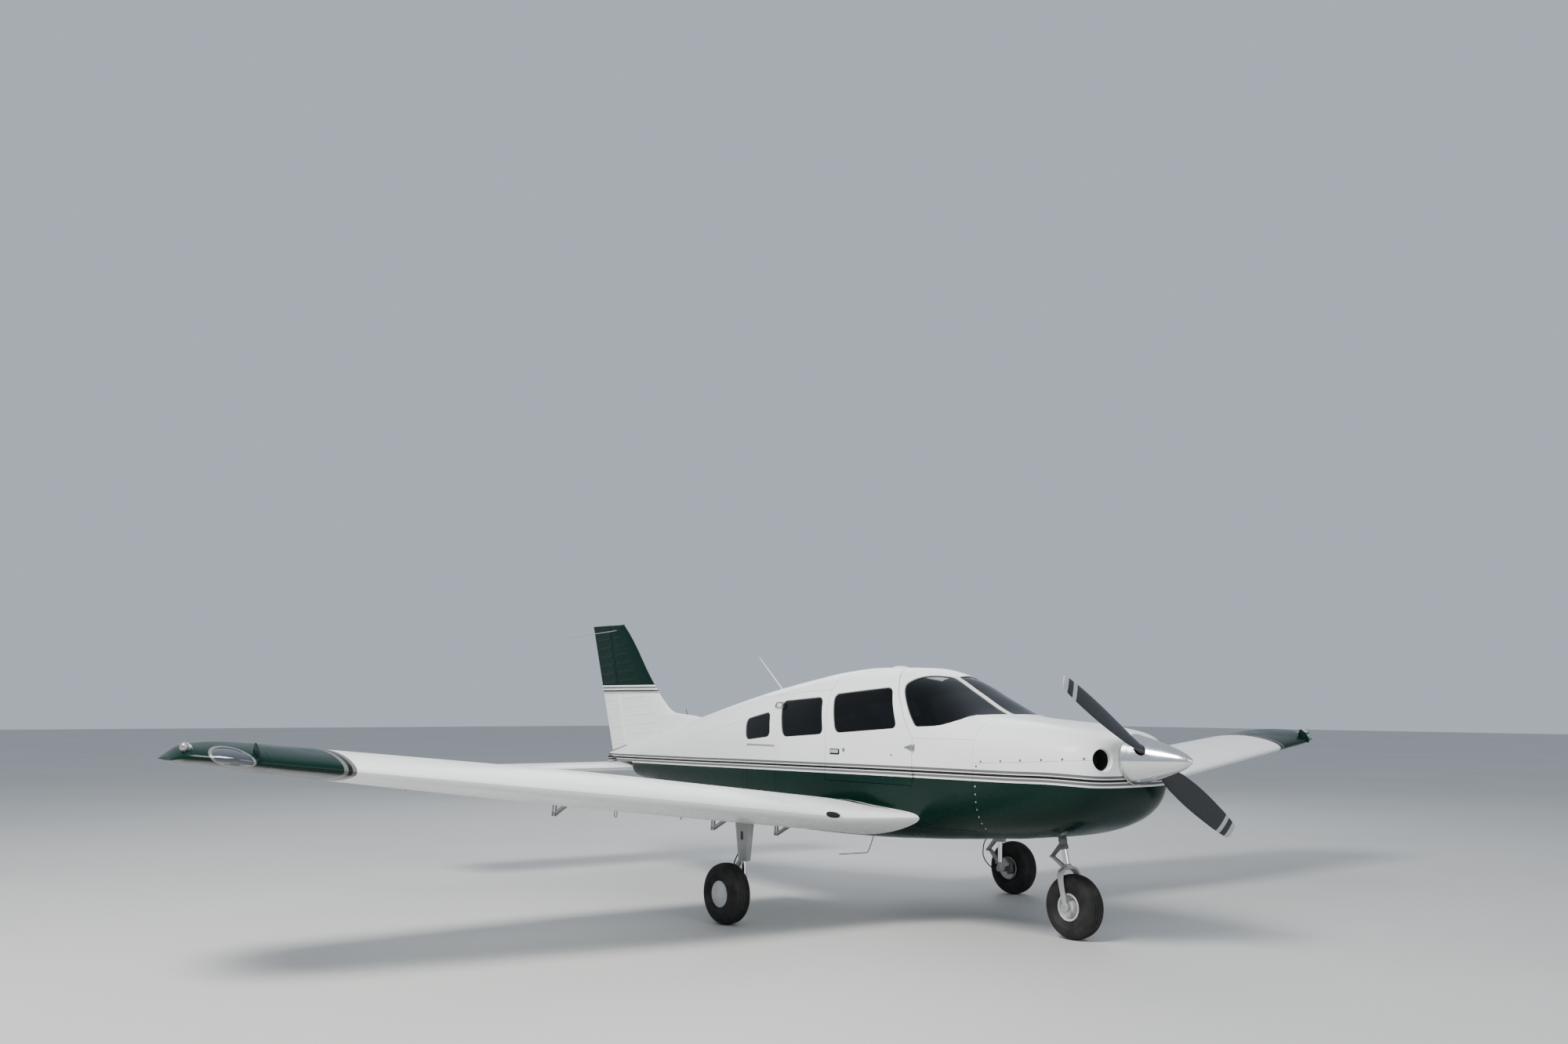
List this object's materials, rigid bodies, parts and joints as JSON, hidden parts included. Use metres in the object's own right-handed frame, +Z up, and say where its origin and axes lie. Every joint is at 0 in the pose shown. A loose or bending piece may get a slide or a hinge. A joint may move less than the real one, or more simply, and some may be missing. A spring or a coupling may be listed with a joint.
{
  "type": "light aircraft",
  "caption": "Low-wing single-engine light aircraft with fixed tricycle gear, opening doors, turning propeller and wheels, and moving control surfaces",
  "frame": {"origin": "on the ground, at the middle of the bounding box seen from above", "axes": "nose towards -Y, left wing towards +X, right wing towards -X, +Z up"},
  "size_m": [10.8244, 7.32, 2.345],
  "materials": {
    "white_paint": "gloss paint",
    "green_paint": "gloss paint",
    "window_pane": "clear",
    "engine_iron": "matte",
    "bare_metal": "satin",
    "polished_metal": "polished",
    "black_paint": "satin paint",
    "tip_shell": "gloss paint",
    "aerial_shell": "satin",
    "tyre": "matte",
    "wheel_alloy": "painted",
    "gear_steel": "gloss paint",
    "panel_plastic": "matte",
    "cabin_trim": "matte",
    "seat_cloth": "woven"
  },
  "bodies": {
    "airframe": {"windshield_surround": "white_paint", "cabin_roof": "white_paint", "left_side_panel": "white_paint", "right_side_panel": "white_paint", "belly_floor": "green_paint", "windshield_left": "window_pane", "windshield_right": "window_pane", "left_front_window": "window_pane", "left_rear_window": "window_pane", "left_quarter_window": "window_pane", "right_rear_window": "window_pane", "right_quarter_window": "window_pane", "upper_cowl": "white_paint", "lower_cowl": "green_paint", "engine_block": "engine_iron", "firewall": "bare_metal", "aft_bulkhead": "cabin_trim", "tail_cone": "white_paint", "left_wing": "white_paint", "right_wing": "white_paint", "left_wing_tip": "tip_shell", "right_wing_tip": "tip_shell", "fin": "white_paint", "left_main_leg": "gear_steel", "right_main_leg": "gear_steel", "nose_leg": "gear_steel", "instrument_panel": "panel_plastic", "left_control_wheel": "panel_plastic", "right_control_wheel": "panel_plastic", "left_front_seat": "seat_cloth", "right_front_seat": "seat_cloth", "rear_seat": "seat_cloth", "roof_aerial": "aerial_shell", "fin_aerial": "bare_metal", "belly_aerial": "bare_metal"},
    "propeller_and_spinner": {"propeller": "black_paint", "spinner": "polished_metal"},
    "steered_fork": {"nose_fork": "gear_steel"},
    "nose_wheel_and_tyre": {"nose_wheel": "wheel_alloy", "nose_tyre": "tyre"},
    "left_wheel_and_tyre": {"left_main_wheel": "wheel_alloy", "left_main_tyre": "tyre"},
    "right_wheel_and_tyre": {"right_main_wheel": "wheel_alloy", "right_main_tyre": "tyre"},
    "front_door": {"cabin_door": "white_paint", "door_window": "window_pane"},
    "hold_door": {"baggage_door": "white_paint"},
    "flap_left": {"left_flap": "white_paint"},
    "flap_right": {"right_flap": "white_paint"},
    "aileron_left": {"left_aileron": "white_paint"},
    "aileron_right": {"right_aileron": "white_paint"},
    "rudder_surface": {"rudder": "white_paint"},
    "tailplane": {"stabilator": "white_paint"},
    "tailplane_tab": {"stabilator_tab": "white_paint"}
  },
  "joints": [
    {"name": "propeller_spin", "type": "hinge", "parent": "airframe", "child": "propeller_and_spinner", "pos_m": [0, -3.335, 1.208], "axis": [0, 1, 0], "continuous": true},
    {"name": "nose_steering", "type": "hinge", "parent": "airframe", "child": "steered_fork", "pos_m": [0, -2.665, 0.215], "axis": [0, 0.2125, 0.9772], "range_deg": [-20, 20]},
    {"name": "nose_wheel_spin", "type": "hinge", "parent": "steered_fork", "child": "nose_wheel_and_tyre", "pos_m": [0, -2.665, 0.215], "axis": [1, 0, 0], "continuous": true},
    {"name": "left_wheel_spin", "type": "hinge", "parent": "airframe", "child": "left_wheel_and_tyre", "pos_m": [1.47, -0.715, 0.215], "axis": [1, 0, 0], "continuous": true},
    {"name": "right_wheel_spin", "type": "hinge", "parent": "airframe", "child": "right_wheel_and_tyre", "pos_m": [-1.47, -0.715, 0.215], "axis": [1, 0, 0], "continuous": true},
    {"name": "cabin_door_hinge", "type": "hinge", "parent": "airframe", "child": "front_door", "pos_m": [-0.576, -1.69, 1.2], "axis": [0, 0, 1], "range_deg": [0, 80]},
    {"name": "baggage_door_hinge", "type": "hinge", "parent": "airframe", "child": "hold_door", "pos_m": [-0.52851, -0.037, 1.23], "axis": [0.1027, 0.9947, 0], "range_deg": [0, 90]},
    {"name": "left_flap_hinge", "type": "hinge", "parent": "airframe", "child": "flap_left", "pos_m": [1.67959, -0.22621, 0.83345], "axis": [-0.9931, -0.0034, -0.1169], "range_deg": [0, 40]},
    {"name": "right_flap_hinge", "type": "hinge", "parent": "airframe", "child": "flap_right", "pos_m": [-1.67959, -0.22621, 0.83345], "axis": [-0.9931, 0.0034, 0.1169], "range_deg": [0, 40]},
    {"name": "left_aileron_hinge", "type": "hinge", "parent": "airframe", "child": "aileron_left", "pos_m": [3.82007, -0.2545, 1.09176], "axis": [0.9904, -0.0594, 0.1249], "range_deg": [-12.5, 25]},
    {"name": "right_aileron_hinge", "type": "hinge", "parent": "airframe", "child": "aileron_right", "pos_m": [-3.82007, -0.2545, 1.09176], "axis": [0.9904, 0.0594, -0.1249], "range_deg": [-12.5, 25]},
    {"name": "rudder_hinge", "type": "hinge", "parent": "airframe", "child": "rudder_surface", "pos_m": [0, 2.98, 1.148], "axis": [0, 0.2866, 0.958], "range_deg": [-27, 27]},
    {"name": "tailplane_pivot", "type": "hinge", "parent": "airframe", "child": "tailplane", "pos_m": [0, 2.93, 0.955], "axis": [1, 0, 0], "range_deg": [-2, 14]},
    {"name": "tab_hinge", "type": "hinge", "parent": "tailplane", "child": "tailplane_tab", "pos_m": [0, 3.318, 0.955], "axis": [1, 0, 0], "range_deg": [-2, 10]}
  ],
  "couplings": [
    {"joint": "right_flap_hinge", "follows": "left_flap_hinge", "ratio": 1},
    {"joint": "tab_hinge", "follows": "tailplane_pivot", "ratio": 0.7}
  ]
}
